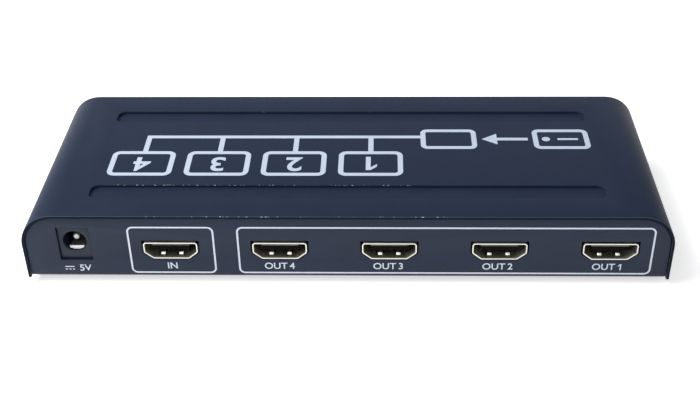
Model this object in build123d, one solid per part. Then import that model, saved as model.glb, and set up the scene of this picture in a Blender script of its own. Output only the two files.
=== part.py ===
from build123d import *
import os

os.makedirs("parts", exist_ok=True)

# A video splitter: a small sheet-metal box that repeats one input on four outputs.
# Lengths are in millimetres and +Z is up. X runs along the box, and the sockets face -Y.
# The origin is on the surface that the feet stand on, under the middle of the box.

# Where things stand along the box, from its jack end to its other end
jack_inset = 14.5
jack_to_input = 26.4
socket_pitch = 30.0
last_socket_inset = 17.1
case_depth = 66.0

# Top cover: one sheet folded down at both ends with rolled bends
cover_sheet = 0.8
cover_bend_radius = 9.6
head_room = 3.3

# The two channels pressed into the cover's top, one along each long side
channel_width = 6.4
channel_depth = 0.9
channel_corner_radius = 2.2
channel_edge_radius = 0.35
channel_end_inset = 17.7
port_channel_inset = 12.2
led_channel_inset = 12.8

# Base chassis: one sheet with both long edges folded up as panels
base_sheet = 0.8
base_bend_radius = 0.6
panel_setback = 0.4
panel_gap = 0.2
panel_corner_radius = 1.2

# Tabs folded up from the chassis ends, which the cover is screwed to
tab_width = 12.0
tab_inset = 13.0
tab_relief = 1.0
tab_top_gap = 0.2

# Rubber feet
foot_height = 2.0
foot_radius = 5.5
foot_taper = 0.6
foot_edge_radius = 0.4
foot_inset = 11.0

# Circuit board and the standoffs that carry it
board_thickness = 1.6
board_panel_gap = 0.8
board_end_inset = 7.0
standoff_height = 3.6
standoff_across_flats = 5.0
standoff_collar_radius = 2.1
standoff_inset = 9.0

# Screws: pan heads hold the board, flush countersunk heads hold the cover
screw_radius = 1.5
thread_gap = 0.05
screw_hole_gap = 0.2
board_screw_bite = 3.0
pan_head_radius = 2.75
pan_head_height = 2.0
pan_head_edge_radius = 0.8
cover_screw_head_radius = 2.8
cover_screw_length = 5.0

# Video socket shell: one folded sheet with spring fingers, and legs through the board
shell_width = 14.9
shell_height = 5.4
shell_foot_width = 9.8
shell_side_share = 0.61
shell_wall = 0.36
shell_length = 11.5
shell_corner_radius = 0.9
shell_rise = 0.67
socket_proud = 0.3
socket_cutout_gap = 0.45
finger_width = 1.2
finger_slit = 0.3
finger_offset = 2.5
finger_setback = 1.4
finger_crest_run = 0.5
finger_root = 0.6
finger_lift = 0.5
leg_width = 1.8
leg_pin_width = 0.9
front_leg_setback = 2.8
rear_leg_inset = 2.1

# Video socket core: a moulded block at the back, with a tongue that carries the contacts
tongue_width = 10.2
tongue_thickness = 1.8
tongue_top_gap = 0.95
tongue_setback = 1.0
tongue_edge_radius = 0.3
core_block_length = 4.0
core_foot_width = 8.6
upper_contacts = 10
lower_contacts = 9
contact_pitch = 1.0
contact_width = 0.3
contact_thickness = 0.2
contact_proud = 0.08
contact_setback = 0.6
contact_tail_gap = 0.4
contact_tail_length = 0.9

# Power jack: a moulded body with a barrel for the plug, a centre pin and two more contacts
jack_length = 14.0
jack_front_length = 3.4
jack_front_step = 0.4
jack_wall = 0.8
jack_top_wall = 1.7
jack_setback = 0.6
jack_cutout_gap = 0.1
jack_hole_radius = 3.2
jack_hole_height = 5.8
jack_hole_depth = 9.8
jack_mouth_chamfer = 0.3
jack_pin_radius = 1.0
jack_pin_shank_radius = 1.4
jack_pin_setback = 2.1
jack_pin_tip_radius = 0.6
jack_spring_width = 4.0
jack_spring_thickness = 0.3
jack_spring_slit = 0.1
jack_spring_setback = 1.0
jack_spring_lift = 0.6
jack_spring_drop = 0.7
jack_spring_crest_run = 0.6
jack_terminal_thickness = 0.4
jack_terminal_width = 2.4
jack_shunt_setback = 8.0

# Indicator lamps on the far panel
led_radius = 1.5
led_flange_radius = 1.9
led_flange_length = 1.0
led_length = 5.2
led_proud = 0.9
led_height = 4.6
led_hole_gap = 0.1
led_pitch = 14.0
led_lead_thickness = 0.5
led_lead_pitch = 2.54
led_lead_run = 1.8

# How far leads, pins and terminals stand out under the board
lead_reach = 1.2

# Splitter chip and memory chip
splitter_chip_side = 11.0
splitter_chip_height = 1.4
splitter_pin_count = 12
splitter_pin_pitch = 0.8
splitter_pin_width = 0.3
memory_chip_width = 5.0
memory_chip_depth = 4.0
memory_chip_height = 1.5
memory_pin_count = 4
memory_pin_pitch = 1.27
memory_pin_width = 0.4
pin_thickness = 0.15
pin_reach = 1.0
chip_air = 0.1
chip_edge = 0.15

# Power parts on the board
regulator_width = 6.5
regulator_depth = 3.5
regulator_height = 1.6
regulator_tab_width = 3.0
regulator_lead_width = 0.7
regulator_lead_pitch = 2.3
regulator_lead_count = 3
inductor_side = 6.2
inductor_height = 3.0
inductor_corner = 1.2
inductor_top_radius = 2.4
inductor_top_step = 0.4
can_base_side = 6.6
can_base_height = 0.9
can_base_corner = 1.2
can_radius = 3.1
can_height = 5.6
can_edge_radius = 0.4
crystal_width = 11.0
crystal_depth = 4.6
crystal_height = 3.4
crystal_flange = 0.4
crystal_flange_height = 0.5
crystal_edge_radius = 0.5
diode_width = 4.3
diode_depth = 2.6
diode_height = 2.1
diode_terminal = 0.5
diode_terminal_width = 1.5

# Small parts: a row of resistors behind each socket and capacitors round the splitter chip
resistor_length = 1.6
resistor_width = 0.8
resistor_height = 0.5
resistor_pitch = 2.4
resistor_row_gap = 2.4
resistors_per_socket = 4
capacitor_length = 2.0
capacitor_width = 1.25
capacitor_height = 0.9
capacitor_pitch = 3.6
capacitor_gap = 1.2
capacitors_per_side = 3

# Places on the board, as shares of its half length and half depth
splitter_chip_shares = (0.07, 0.10)
memory_chip_shares = (0.37, 0.13)
crystal_shares = (-0.22, 0.20)
regulator_shares = (-0.60, 0.32)
inductor_shares = (-0.60, -0.16)
input_can_shares = (-0.80, 0.05)
output_can_shares = (-0.42, 0.10)
diode_shares = (-0.90, -0.28)

# How far a cutting tool runs past what it cuts
overrun = 1.0

# Turns that put a row of pins on each side of a square chip
quarter_turns = (0, 90, 180, 270)

# Sizes and places that follow from the ones above
socket_names = ["input", "output_4", "output_3", "output_2", "output_1"]
led_names = ["output_4_led", "output_3_led", "output_2_led", "output_1_led", "input_led", "power_led"]
case_length = jack_inset + jack_to_input + socket_pitch * (len(socket_names) - 1) + last_socket_inset
jack_x = jack_inset - case_length / 2
socket_xs = [jack_x + jack_to_input + socket_pitch * i for i in range(len(socket_names))]
led_xs = [led_pitch * (i - (len(led_names) - 1) / 2) for i in range(len(led_names))]

underside = foot_height
plate_top = underside + base_sheet
board_bottom = plate_top + standoff_height
board_top = board_bottom + board_thickness
jack_z = board_top + jack_hole_height
jack_top = jack_z + jack_hole_radius + jack_top_wall
case_top = jack_top + head_room + cover_sheet
socket_z = board_top + shell_rise + shell_height / 2
lead_end = board_bottom - lead_reach

panel_face = case_depth / 2 - panel_setback
panel_inset = cover_sheet + panel_gap
panel_half = case_length / 2 - panel_inset
panel_top = case_top - panel_inset
fold_radius = base_bend_radius + base_sheet
tab_face = case_length / 2 - cover_sheet
tab_top = case_top - cover_bend_radius - tab_top_gap
tab_y = case_depth / 2 - tab_inset
cover_screw_z = (underside + fold_radius + tab_top) / 2

board_half_length = case_length / 2 - board_end_inset
board_half_depth = panel_face - base_sheet - board_panel_gap
mouth_y = -panel_face - socket_proud
tails_y = mouth_y + shell_length + contact_tail_gap + contact_tail_length
jack_face_y = jack_setback - panel_face
jack_rear_width = 2 * (jack_hole_radius + jack_wall)
jack_front_width = jack_rear_width + 2 * jack_front_step
led_y = panel_face + led_proud - led_length
led_z = board_top + led_height

jack_to_socket_x = (jack_x + jack_front_width / 2 + socket_xs[0] - shell_width / 2) / 2
last_gap_x = (socket_xs[-2] + socket_xs[-1]) / 2
standoff_places = [
    (jack_to_socket_x, standoff_inset - case_depth / 2),
    (last_gap_x, standoff_inset - case_depth / 2),
    (board_end_inset + standoff_inset - case_length / 2, case_depth / 2 - standoff_inset),
    (case_length / 2 - board_end_inset - standoff_inset, case_depth / 2 - standoff_inset),
]


def beside(points, distance, closed=False):
    """The corners of a line moved to its left by distance, with mitred joins."""
    corners = [Vector(*point) for point in points]
    moved = []
    for i, corner in enumerate(corners):
        ways = []
        if closed or i > 0:
            ways.append(corner - corners[i - 1])
        if closed or i + 1 < len(corners):
            ways.append(corners[(i + 1) % len(corners)] - corner)
        lefts = [way.normalized().rotate(Axis.Z, 90) for way in ways]
        total = sum(lefts, Vector())
        step = total * (distance * len(lefts) / total.length**2)
        moved.append(((corner + step).X, (corner + step).Y))
    return moved


def outline(points):
    """A flat face with straight sides."""
    return make_face(Polyline(*points, close=True))


def ribbon(points, thickness):
    """A sheet seen edge on, bent along a line of points."""
    return outline(beside(points, thickness / 2) + beside(points, -thickness / 2)[::-1])


def lay_x(face, left, right):
    """A face drawn in Y and Z, carried along X from left to right."""
    return Pos(left, 0, 0) * (Plane.YZ * extrude(face, right - left))


def lay_y(face, near, far):
    """A face drawn in X and Z, carried along Y from near to far."""
    return Pos(0, far, 0) * (Plane.XZ * extrude(face, far - near))


def lay_z(face, low, high):
    """A face drawn in X and Y, carried up from low to high."""
    return Pos(0, 0, low) * extrude(face, high - low)


def strip(points, thickness, width, x=0):
    """A strip bent along points in Y and Z, width wide about x."""
    return lay_x(ribbon(points, thickness), x - width / 2, x + width / 2)


def about(middle, size):
    """The two ends of a size centred on middle."""
    return (middle - size / 2, middle + size / 2)


def block(x_ends, y_ends, z_ends):
    """A box between three pairs of ends."""
    ends = (x_ends, y_ends, z_ends)
    middle = [(low + high) / 2 for low, high in ends]
    return Pos(*middle) * Box(*[high - low for low, high in ends])


def upright(x, y, radius, low, high):
    """A round bar standing along Z."""
    return Pos(x, y, (low + high) / 2) * Cylinder(radius, high - low)


def level(x, z, radius, near, far):
    """A round bar lying along Y."""
    return Pos(x, (near + far) / 2, z) * Rot(90, 0, 0) * Cylinder(radius, far - near)


def turned(profile):
    """A solid turned about Z from its half section, drawn as radius and height."""
    return revolve(Plane.XZ * outline(profile), Axis.Z)


def end_view(inset, low):
    """The box seen from its port side down to low, drawn in by inset, with the cover's bends."""
    half = case_length / 2 - inset
    top = case_top - inset
    face = outline([(-half, low), (half, low), (half, top), (-half, top)])
    return fillet(face.vertices().sort_by(Axis.Y)[-2:], cover_bend_radius - inset)


def both_ends(piece):
    """A piece and its copy turned half round the box's middle."""
    return [piece, Rot(0, 0, 180) * piece]


def cover_screw(y):
    """A countersunk screw through the cover's end wall into a tab, its head flush with the cover."""
    head_depth = cover_screw_head_radius - screw_radius
    profile = [
        (0, 0),
        (cover_screw_head_radius, 0),
        (screw_radius, -head_depth),
        (screw_radius, -cover_screw_length),
        (0, -cover_screw_length),
    ]
    return Pos(case_length / 2, y, cover_screw_z) * Rot(0, 90, 0) * turned(profile)


def make_cover_screws():
    return [screw for y in (-tab_y, tab_y) for screw in both_ends(cover_screw(y))]


def make_top_cover(cover_screws):
    """The cover's folded section, with its channels pressed down and its screw holes."""
    section = end_view(0, underside) - end_view(cover_sheet, underside)
    cover = lay_y(section, -case_depth / 2, case_depth / 2)
    length = case_length - 2 * channel_end_inset
    floor = case_top - channel_depth
    pocket = RectangleRounded(length, channel_width, channel_corner_radius)
    ridge = offset(pocket, cover_sheet)
    for y in (port_channel_inset - case_depth / 2, case_depth / 2 - led_channel_inset):
        cover += lay_z(Pos(0, y) * ridge, floor - cover_sheet, case_top - cover_sheet)
        cover -= lay_z(Pos(0, y) * pocket, floor, case_top + overrun)
    top = cover.faces().filter_by(Axis.Z).sort_by(Axis.Z)[-1]
    rims = [edge for wire in top.inner_wires() for edge in wire.edges()]
    floors = cover.faces().filter_by(Axis.Z).filter_by_position(Axis.Z, floor, floor)
    rims += [edge for face in floors for edge in face.edges()]
    cover = fillet(rims, channel_edge_radius)
    for screw in cover_screws:
        cover -= screw
    return cover


def fold(edge, top):
    """A sheet's edge turned up: its flat, a bend, and a wall to top with its outside at edge."""
    start = edge - 2 * fold_radius
    inside = edge - base_sheet
    wall = [(edge, underside), (edge, top), (inside, top), (inside, plate_top)]
    face = outline([(start, underside), *wall, (start, plate_top)])
    face = fillet(face.vertices().sort_by_distance((edge, underside))[:1], fold_radius)
    return fillet(face.vertices().sort_by_distance((inside, plate_top))[:1], base_bend_radius)


def shell_outline():
    """The socket's D, seen from its mouth: a flat top, upright sides, and drawn-in lower corners."""
    half = shell_width / 2
    top = shell_height / 2
    knee = top - shell_side_share * shell_height
    foot = shell_foot_width / 2
    return [(-half, top), (-half, knee), (-foot, -top), (foot, -top), (half, knee), (half, top)]


def make_base_chassis(cover_screws):
    """The plate with its two panels and four tabs folded up, and every hole in them."""
    flat = panel_face - fold_radius
    plate = block((-panel_half, panel_half), (-flat, flat), (underside, plate_top))
    notch_x = tab_face - fold_radius
    for y in (-tab_y, tab_y):
        notch_ends = about(y, tab_width + 2 * tab_relief)
        notch = block((notch_x, case_length), notch_ends, (0, plate_top + overrun))
        for cut in both_ends(notch):
            plate -= cut
    chassis = plate
    for wall in both_ends(lay_x(fold(panel_face, panel_top), -panel_half, panel_half)):
        chassis += wall
    chassis &= lay_y(end_view(panel_inset, underside), -case_depth / 2, case_depth / 2)

    sharp = end_view(panel_inset, underside)
    waste = sharp - fillet(sharp.vertices().sort_by(Axis.Y)[:2], panel_corner_radius)
    for corner in both_ends(lay_y(waste, flat, case_depth / 2)):
        chassis -= corner
    for y in (-tab_y, tab_y):
        for tab in both_ends(lay_y(fold(tab_face, tab_top), *about(y, tab_width))):
            chassis += tab

    through_port = (-case_depth / 2, -panel_face + base_sheet + overrun)
    cutout = outline(beside(shell_outline(), -socket_cutout_gap, closed=True))
    for x in socket_xs:
        chassis -= lay_y(Pos(x, socket_z) * cutout, *through_port)
    jack_sides = about(jack_x, jack_front_width + 2 * jack_cutout_gap)
    chassis -= block(jack_sides, through_port, (board_top - jack_cutout_gap, jack_top + jack_cutout_gap))
    inside_far = panel_face - base_sheet - overrun
    for x in led_xs:
        chassis -= level(x, led_z, led_radius + led_hole_gap, inside_far, case_depth)
    for x, y in standoff_places:
        chassis -= upright(x, y, standoff_collar_radius, 0, plate_top + overrun)
    for screw in cover_screws:
        chassis -= screw
    return chassis


def make_foot():
    """A round stick-on foot, a little narrower where it stands."""
    foot = Cone(foot_radius - foot_taper, foot_radius, foot_height)
    foot = Pos(0, 0, foot_height / 2) * foot
    return fillet(foot.edges().sort_by(Axis.Z)[:1], foot_edge_radius)


def make_standoffs():
    """Hexagon standoffs, each with a collar pressed into the plate and a blind thread."""
    hexagon = RegularPolygon(standoff_across_flats / 2, 6, major_radius=False)
    standoffs = []
    for x, y in standoff_places:
        standoff = lay_z(Pos(x, y) * hexagon, plate_top, board_bottom)
        standoff += upright(x, y, standoff_collar_radius, underside, plate_top)
        standoffs.append(standoff - upright(x, y, screw_radius + thread_gap, plate_top, board_bottom))
    return standoffs


def make_board_screws():
    """Pan-head screws through the board into the standoffs."""
    head = upright(0, 0, pan_head_radius, board_top, board_top + pan_head_height)
    head = fillet(head.edges().sort_by(Axis.Z)[-1:], pan_head_edge_radius)
    screw = head + upright(0, 0, screw_radius, board_bottom - board_screw_bite, board_top)
    return [Pos(x, y, 0) * screw for x, y in standoff_places]


def socket_legs(drop):
    """The four shell legs, in the socket's own place, standing on the board and passing through it."""
    board = -shell_height / 2 - shell_rise
    wall = (shell_width / 2 - shell_wall, shell_width / 2)
    legs = []
    for setback in (front_leg_setback, shell_length - rear_leg_inset):
        leg = block(wall, about(setback, leg_width), (board, 0))
        leg += block(wall, about(setback, leg_pin_width), (board - drop, 0))
        legs += [leg, mirror(leg, Plane.YZ)]
    return legs


def make_socket_shell():
    """The plated shell round its own origin: mouth at Y = 0, middle of the opening at X = Z = 0."""
    outer = outline(shell_outline())
    inner = outline(beside(shell_outline(), shell_wall, closed=True))
    outer = fillet(outer.vertices(), shell_corner_radius)
    inner = fillet(inner.vertices(), shell_corner_radius - shell_wall)
    shell = lay_y(outer - inner, 0, shell_length)

    window_ends = (finger_setback, shell_length - core_block_length - finger_root)
    middle_z = (shell_wall - shell_height) / 2
    finger_path = [
        (window_ends[1] + finger_slit, middle_z),
        (window_ends[1] - finger_slit, middle_z),
        (finger_setback + finger_slit + finger_crest_run, middle_z + finger_lift),
        (finger_setback + finger_slit, middle_z),
    ]
    for x in (-finger_offset, finger_offset):
        window_sides = about(x, finger_width + 2 * finger_slit)
        window = block(window_sides, window_ends, about(middle_z, 2 * shell_wall))
        finger = strip(finger_path, shell_wall, finger_width, x)
        shell = shell - window - mirror(window, Plane.XY)
        shell = shell + finger + mirror(finger, Plane.XY)

    block_ends = (shell_length - core_block_length, shell_length + overrun)
    shell -= block(about(0, core_foot_width), block_ends, (-shell_height, middle_z + shell_wall))
    for leg in socket_legs(board_thickness + lead_reach):
        shell += leg
    return shell


def tongue_ends():
    """The tongue's underside and top, from the middle of the socket's opening."""
    top = shell_height / 2 - shell_wall - tongue_top_gap
    return (top - tongue_thickness, top)


def make_contacts():
    """The contacts in both rows: along the tongue, through the block, and down to feet on the board."""
    board = -shell_height / 2 - shell_rise
    sink = contact_thickness / 2 - contact_proud
    low, high = tongue_ends()
    contacts = []
    for count, height in ((upper_contacts, high - sink), (lower_contacts, low + sink)):
        path = [
            (tongue_setback + contact_setback, height),
            (shell_length + contact_tail_gap, height),
            (shell_length + contact_tail_gap, board + contact_thickness / 2),
            (shell_length + contact_tail_gap + contact_tail_length, board + contact_thickness / 2),
        ]
        for i in range(count):
            x = contact_pitch * (i - (count - 1) / 2)
            contacts.append(strip(path, contact_thickness, contact_width, x))
    return contacts


def make_socket_core(contacts):
    """The moulded core: a block that closes the shell's back and stands on the board, and the tongue."""
    board = -shell_height / 2 - shell_rise
    block_ends = (shell_length - core_block_length, shell_length)
    inner = outline(beside(shell_outline(), shell_wall, closed=True))
    inner = fillet(inner.vertices(), shell_corner_radius - shell_wall)
    core = lay_y(inner, *block_ends)
    core += block(about(0, core_foot_width), block_ends, (board, 0))
    tongue = block(about(0, tongue_width), (tongue_setback, shell_length), tongue_ends())
    front = tongue.faces().sort_by(Axis.Y)[0]
    tongue = chamfer(front.edges().filter_by(Axis.X), tongue_edge_radius)
    core += tongue
    for contact in contacts:
        core -= contact
    return core


def jack_section(width):
    """The jack seen from its mouth, width wide, with a round top over the barrel."""
    face = Pos(jack_x, (board_top + jack_z) / 2) * Rectangle(width, jack_z - board_top)
    return face + Pos(jack_x, jack_z) * Circle(width / 2)


def make_jack_pin():
    """The centre pin, its wider shank held in the barrel's back, and its terminal down the jack's back."""
    tip = jack_face_y + jack_pin_setback
    barrel_end = jack_face_y + jack_hole_depth
    back = jack_face_y + jack_length
    pin = level(jack_x, jack_z, jack_pin_radius, tip, barrel_end)
    pin = fillet(pin.edges().sort_by(Axis.Y)[:1], jack_pin_tip_radius)
    pin += level(jack_x, jack_z, jack_pin_shank_radius, barrel_end, back)
    z_ends = (lead_end, jack_z + jack_pin_shank_radius)
    return pin + block(about(jack_x, jack_terminal_width), (back, back + jack_terminal_thickness), z_ends)


def make_jack_spring():
    """The leaf that presses on the plug's sleeve from below, and its terminal through the body's floor."""
    start = jack_face_y + jack_spring_setback
    barrel_end = jack_face_y + jack_hole_depth
    low = jack_z - jack_hole_radius - jack_spring_drop
    crest = jack_z - jack_hole_radius + jack_spring_lift
    path = [
        (start, jack_z - jack_hole_radius),
        (start + jack_spring_crest_run, crest),
        (barrel_end - jack_spring_crest_run, low),
        (barrel_end, low),
        (barrel_end, lead_end),
    ]
    return strip(path, jack_spring_thickness, jack_spring_width, jack_x)


def make_jack_shunt():
    """The side contact, a blade against the body that runs down through the board."""
    side = jack_x + jack_rear_width / 2
    y_ends = about(jack_face_y + jack_shunt_setback, jack_terminal_width)
    return block((side, side + jack_terminal_thickness), y_ends, (lead_end, jack_z))


def make_jack_body(pin, spring):
    """The moulded body: a square front, a round-topped rear, and the barrel with its spring slot."""
    back = jack_face_y + jack_length
    front_ends = (jack_face_y, jack_face_y + jack_front_length)
    body = lay_y(jack_section(jack_rear_width), jack_face_y, back)
    body += block(about(jack_x, jack_front_width), front_ends, (board_top, jack_top))
    barrel_end = jack_face_y + jack_hole_depth
    barrel = level(jack_x, jack_z, jack_hole_radius, jack_face_y - overrun, barrel_end)
    body -= barrel
    mouth = body.faces().sort_by(Axis.Y)[0].inner_wires()[0]
    body = chamfer(mouth.edges(), jack_mouth_chamfer)
    slot_low = jack_z - jack_hole_radius - jack_spring_drop - jack_spring_thickness / 2
    slot_width = jack_spring_width + 2 * jack_spring_slit
    slot_end = barrel_end + jack_spring_thickness / 2
    slot_ends = (jack_face_y + jack_spring_setback, slot_end)
    body -= block(about(jack_x, slot_width), slot_ends, (slot_low, jack_z))
    return body - pin - spring


def make_led():
    """A round lamp lying along Y from Y = 0, flange first, with a domed tip."""
    shoulder = led_length - led_radius
    section = outline(
        [
            (0, 0),
            (led_flange_radius, 0),
            (led_flange_radius, led_flange_length),
            (led_radius, led_flange_length),
            (led_radius, shoulder),
            (0, shoulder),
        ]
    )
    right_half = Pos(led_radius / 2, shoulder) * Rectangle(led_radius, 2 * led_radius)
    section += Pos(0, shoulder) * Circle(led_radius) & right_half
    return Rot(-90, 0, 0) * revolve(Plane.XZ * section, Axis.Z)


def make_led_leads(x):
    """Both leads of a lamp, straight back and then down through the board."""
    path = [(led_y, led_z), (led_y - led_lead_run, led_z), (led_y - led_lead_run, lead_end)]
    return [strip(path, led_lead_thickness, led_lead_thickness, end) for end in about(x, led_lead_pitch)]


def on_board(shares, piece):
    """A piece made round the origin on Z = 0, put on the board at shares of its half sizes."""
    return Pos(board_half_length * shares[0], board_half_depth * shares[1], board_top) * piece


def turned_copies(shares, pieces, turns):
    """Pieces made on a chip's +Y side, turned onto its other sides and put on the board."""
    return [on_board(shares, Rot(0, 0, turn) * piece) for turn in turns for piece in pieces]


def chip_body(width, depth, height):
    """A moulded chip just clear of the board, with its upper edges broken."""
    body = block(about(0, width), about(0, depth), (chip_air, height))
    return chamfer(body.faces().sort_by(Axis.Z)[-1].edges(), chip_edge)


def side_pins(side, height, count, pitch, width):
    """A row of pins on a chip's +Y side: out, down, and along the board."""
    knee = side + pin_reach / 2
    seat = pin_thickness / 2
    path = [(side, height / 2), (knee, height / 2), (knee, seat), (side + pin_reach, seat)]
    return [strip(path, pin_thickness, width, pitch * (i - (count - 1) / 2)) for i in range(count)]


def make_splitter_pins():
    side = splitter_chip_side / 2
    row = side_pins(side, splitter_chip_height, splitter_pin_count, splitter_pin_pitch, splitter_pin_width)
    return turned_copies(splitter_chip_shares, row, quarter_turns)


def make_memory_pins():
    side = memory_chip_depth / 2
    row = side_pins(side, memory_chip_height, memory_pin_count, memory_pin_pitch, memory_pin_width)
    return turned_copies(memory_chip_shares, row, quarter_turns[::2])


def make_regulator_leads():
    """Three leads on one side of the regulator and its wide heat tab on the other."""
    side = regulator_depth / 2
    height = regulator_height
    leads = side_pins(side, height, regulator_lead_count, regulator_lead_pitch, regulator_lead_width)
    tab = Rot(0, 0, 180) * side_pins(side, height, 1, 0, regulator_tab_width)[0]
    return [on_board(regulator_shares, lead) for lead in [*leads, tab]]


def make_inductor():
    """A shielded coil: a square shield with broken corners and the round core's end on top."""
    body = block(about(0, inductor_side), about(0, inductor_side), (0, inductor_height - inductor_top_step))
    body = chamfer(body.edges().filter_by(Axis.Z), inductor_corner)
    return body + upright(0, 0, inductor_top_radius, 0, inductor_height)


def make_can():
    """A surface-mount electrolytic capacitor: a can on a square base with two broken corners."""
    base = block(about(0, can_base_side), about(0, can_base_side), (0, can_base_height))
    base = chamfer(base.edges().filter_by(Axis.Z).sort_by(Axis.X)[-2:], can_base_corner)
    can = upright(0, 0, can_radius, 0, can_height)
    can = fillet(can.edges().sort_by(Axis.Z)[-1:], can_edge_radius)
    return base + can


def make_crystal():
    """A low metal can with round ends, on its flange."""
    can = lay_z(SlotOverall(crystal_width, crystal_depth), 0, crystal_height)
    can = fillet(can.faces().sort_by(Axis.Z)[-1].edges(), crystal_edge_radius)
    flange = SlotOverall(crystal_width + 2 * crystal_flange, crystal_depth + 2 * crystal_flange)
    return can + lay_z(flange, 0, crystal_flange_height)


def make_diode():
    """A moulded diode with a folded terminal at each end."""
    body = block(about(0, diode_width), about(0, diode_depth), (0, diode_height))
    body = chamfer(body.faces().sort_by(Axis.Z)[-1].edges(), chip_edge)
    length = diode_width + 2 * diode_terminal
    return body + block(about(0, length), about(0, diode_terminal_width), (0, diode_height / 2))


def make_resistors():
    """A row of small resistors on the board behind each socket."""
    y = tails_y + resistor_row_gap
    row = [resistor_pitch * (i - (resistors_per_socket - 1) / 2) for i in range(resistors_per_socket)]
    height_ends = (board_top, board_top + resistor_height)
    return [
        block(about(x + shift, resistor_width), about(y, resistor_length), height_ends)
        for x in socket_xs
        for shift in row
    ]


def make_capacitors():
    """Small capacitors round the splitter chip, a row off each of its sides."""
    out = splitter_chip_side / 2 + pin_reach + capacitor_gap
    row = [capacitor_pitch * (i - (capacitors_per_side - 1) / 2) for i in range(capacitors_per_side)]
    y_ends = (out, out + capacitor_width)
    side = [block(about(x, capacitor_length), y_ends, (0, capacitor_height)) for x in row]
    return turned_copies(splitter_chip_shares, side, quarter_turns)


def make_circuit_board(through):
    """The board, with its screw holes and a hole that fits each leg, lead and terminal."""
    sides = about(0, 2 * board_half_length)
    board = block(sides, about(0, 2 * board_half_depth), (board_bottom, board_top))
    hole_radius = screw_radius + screw_hole_gap
    for x, y in standoff_places:
        board -= upright(x, y, hole_radius, board_bottom - overrun, board_top + overrun)
    for piece in through:
        board -= piece
    return board


def save(name, shape):
    """Write one named piece, or a group of like pieces, to its own file."""
    solids = shape if isinstance(shape, list) else [shape]
    solids = [solid for piece in solids for solid in piece.solids()]
    whole = solids[0] if len(solids) == 1 else Compound(children=solids)
    whole.label = name
    export_step(whole, f"parts/{name}.step")


cover_screws = make_cover_screws()
save("cover_screws", cover_screws)
save("top_cover", make_top_cover(cover_screws))
save("base_chassis", make_base_chassis(cover_screws))
save("board_standoffs", make_standoffs())
save("board_screws", make_board_screws())

foot = make_foot()
foot_x = case_length / 2 - foot_inset
foot_y = case_depth / 2 - foot_inset
for side, x in (("left", -foot_x), ("right", foot_x)):
    for end, y in (("port", -foot_y), ("lamp", foot_y)):
        save(f"{end}_{side}_foot", Pos(x, y, 0) * foot)

through = []
shell = make_socket_shell()
contacts = make_contacts()
core = make_socket_core(contacts)
for name, x in zip(socket_names, socket_xs):
    place = Pos(x, mouth_y, socket_z)
    save(f"{name}_socket_shell", place * shell)
    save(f"{name}_socket_core", place * core)
    save(f"{name}_socket_contacts", [place * contact for contact in contacts])
    through += [place * leg for leg in socket_legs(board_thickness + lead_reach)]

jack_pin = make_jack_pin()
jack_spring = make_jack_spring()
jack_shunt = make_jack_shunt()
save("dc_jack_centre_pin", jack_pin)
save("dc_jack_spring_contact", jack_spring)
save("dc_jack_shunt_contact", jack_shunt)
save("dc_jack_body", make_jack_body(jack_pin, jack_spring))
through += [jack_pin, jack_spring, jack_shunt]

led = make_led()
led_leads = [lead for x in led_xs for lead in make_led_leads(x)]
for name, x in zip(led_names, led_xs):
    save(name, Pos(x, led_y, led_z) * led)
save("led_leads", led_leads)
through += led_leads

splitter_chip = chip_body(splitter_chip_side, splitter_chip_side, splitter_chip_height)
memory_chip = chip_body(memory_chip_width, memory_chip_depth, memory_chip_height)
regulator = chip_body(regulator_width, regulator_depth, regulator_height)
save("splitter_chip", on_board(splitter_chip_shares, splitter_chip))
save("splitter_chip_pins", make_splitter_pins())
save("memory_chip", on_board(memory_chip_shares, memory_chip))
save("memory_chip_pins", make_memory_pins())
save("voltage_regulator", on_board(regulator_shares, regulator))
save("voltage_regulator_leads", make_regulator_leads())
save("power_inductor", on_board(inductor_shares, make_inductor()))
save("input_capacitor", on_board(input_can_shares, make_can()))
save("output_capacitor", on_board(output_can_shares, make_can()))
save("clock_crystal", on_board(crystal_shares, make_crystal()))
save("protection_diode", on_board(diode_shares, make_diode()))
save("small_resistors", make_resistors())
save("small_capacitors", make_capacitors())
save("circuit_board", make_circuit_board(through))
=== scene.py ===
from math import cos, pi, radians, sin

import bmesh
import bpy
from mathutils import Matrix, Vector
from mathutils.bvhtree import BVHTree


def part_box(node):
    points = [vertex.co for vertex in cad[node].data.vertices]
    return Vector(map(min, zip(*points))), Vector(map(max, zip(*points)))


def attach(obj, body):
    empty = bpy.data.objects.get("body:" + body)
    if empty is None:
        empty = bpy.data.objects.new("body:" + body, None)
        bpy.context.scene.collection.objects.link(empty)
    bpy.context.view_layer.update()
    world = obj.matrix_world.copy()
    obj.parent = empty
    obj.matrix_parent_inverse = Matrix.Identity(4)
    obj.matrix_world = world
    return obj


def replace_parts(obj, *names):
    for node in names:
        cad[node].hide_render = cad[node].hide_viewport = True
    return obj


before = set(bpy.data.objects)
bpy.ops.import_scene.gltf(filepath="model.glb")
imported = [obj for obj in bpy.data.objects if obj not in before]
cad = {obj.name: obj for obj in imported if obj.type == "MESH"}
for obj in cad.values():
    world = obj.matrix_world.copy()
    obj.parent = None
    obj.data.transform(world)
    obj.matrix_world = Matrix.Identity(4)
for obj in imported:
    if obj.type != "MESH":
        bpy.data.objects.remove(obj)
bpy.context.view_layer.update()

# A video splitter: a flat sheet-metal box with a power jack and five video sockets on its port side.
# Lengths are in metres, or in mm where a comment says so. +Z is up, X runs along the box, and the
# sockets face -Y.

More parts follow.
